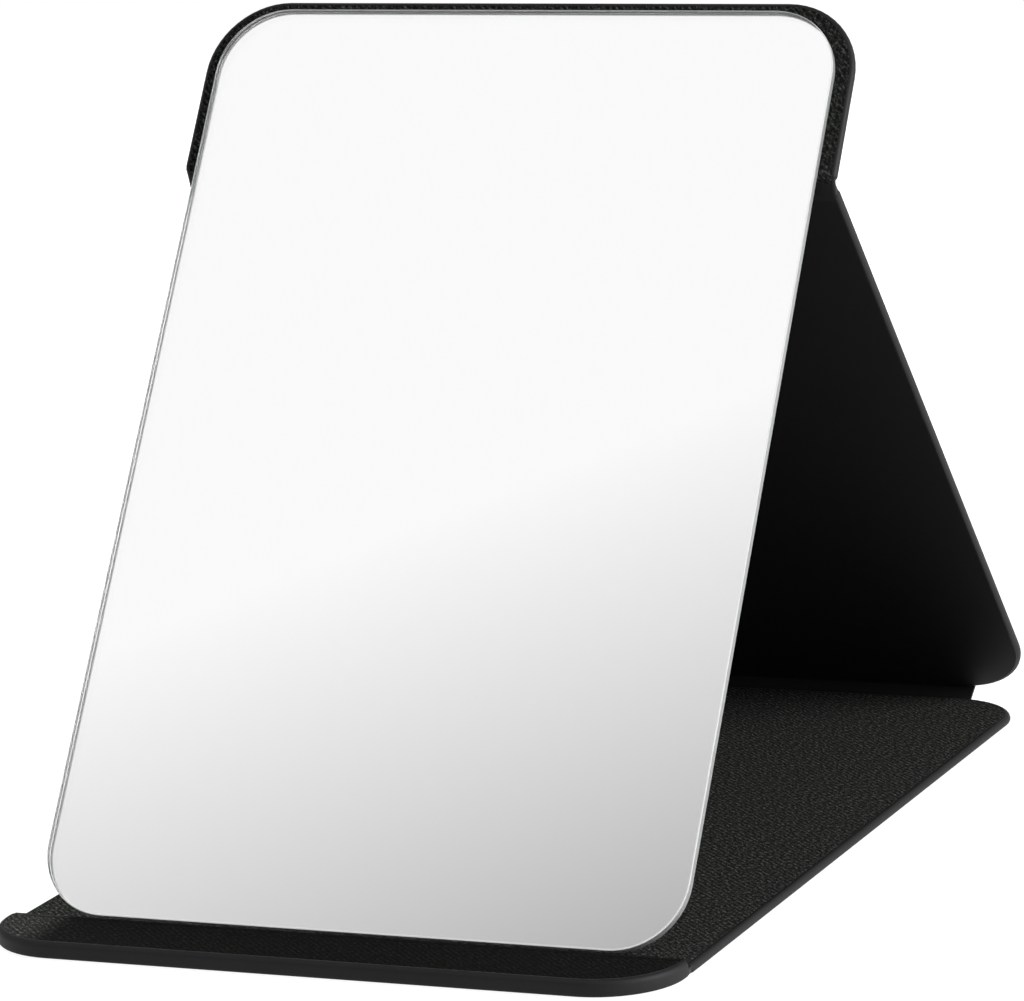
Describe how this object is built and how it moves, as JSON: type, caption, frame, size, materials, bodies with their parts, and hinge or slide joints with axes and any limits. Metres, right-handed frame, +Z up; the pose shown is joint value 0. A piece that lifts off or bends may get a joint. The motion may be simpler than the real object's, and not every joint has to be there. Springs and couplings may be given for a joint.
{
  "type": "folding travel mirror",
  "caption": "Folding travel makeup mirror: a frameless rounded mirror on a book-like black case whose base and rear panel fold into a triangular table stand.",
  "frame": {"origin": "on the table under the middle of the standing mirror's bounding box", "axes": "+Z up, +X to the right as the user looks into the mirror, -Y towards the user"},
  "size_m": [0.1578, 0.2616, 0.1858],
  "materials": {
    "cover_pu": "fine-grained black PU leather, satin, paler along its edges",
    "lining_twill": "dark charcoal twill lining with lighter diagonal threads",
    "lining_smooth": "smooth matte black PU",
    "greyboard": "uncoated greyboard, pressed paper fibre",
    "mirror_glass": "clear float glass with ground edges",
    "silver": "silvered back of the glass",
    "safety_film": "grey anti-shatter film",
    "mounting_tape": "white double-sided foam tape",
    "magnet_nickel": "nickel-plated disc magnet",
    "keeper_steel": "thin plated steel disc"
  },
  "bodies": {
    "base": {"base_board": "greyboard", "base_outer_cover": "cover_pu", "base_lining": "lining_twill"},
    "closing_flap": {"closing_flap_board": "greyboard", "closing_flap_cover": "cover_pu", "closing_flap_lining": "lining_twill", "closing_flap_magnets": "magnet_nickel", "closing_flap_crease": "cover_pu"},
    "lower_spine": {"lower_spine_cover": "cover_pu", "lower_spine_lining": "lining_smooth"},
    "rear_panel": {"rear_board": "greyboard", "rear_outer_cover": "cover_pu", "rear_lining": "lining_smooth", "upper_hinge_cover": "cover_pu", "upper_hinge_lining": "lining_smooth"},
    "mirror_panel": {"top_flap_board": "greyboard", "top_flap_outer_cover": "cover_pu", "top_flap_lining": "lining_twill", "top_flap_keepers": "keeper_steel", "mounting_tape": "mounting_tape", "safety_film": "safety_film", "silver_coating": "silver", "mirror_glass": "mirror_glass"}
  },
  "joints": [
    {"name": "spine_fold", "type": "hinge", "parent": "base", "child": "lower_spine", "pos_m": [0, 0.12495, 0.0005], "axis": [-1, 0, 0], "range_deg": [0, 33.5]},
    {"name": "stand_fold", "type": "hinge", "parent": "lower_spine", "child": "rear_panel", "pos_m": [0, 0.13029, 0.00403], "axis": [-1, 0, 0], "range_deg": [0, 98.99]},
    {"name": "mirror_fold", "type": "hinge", "parent": "rear_panel", "child": "mirror_panel", "pos_m": [0, -0.0027, 0.14921], "axis": [1, 0, 0], "range_deg": [0, 76.9]},
    {"name": "closing_flap_fold", "type": "hinge", "parent": "base", "child": "closing_flap", "pos_m": [0, -0.10991, 0.0018], "axis": [-1, 0, 0], "range_deg": [0, 90]}
  ],
  "couplings": [
    {"joint": "spine_fold", "follows": "stand_fold", "ratio": 0.33841},
    {"joint": "mirror_fold", "follows": "stand_fold", "ratio": 0.77686}
  ]
}
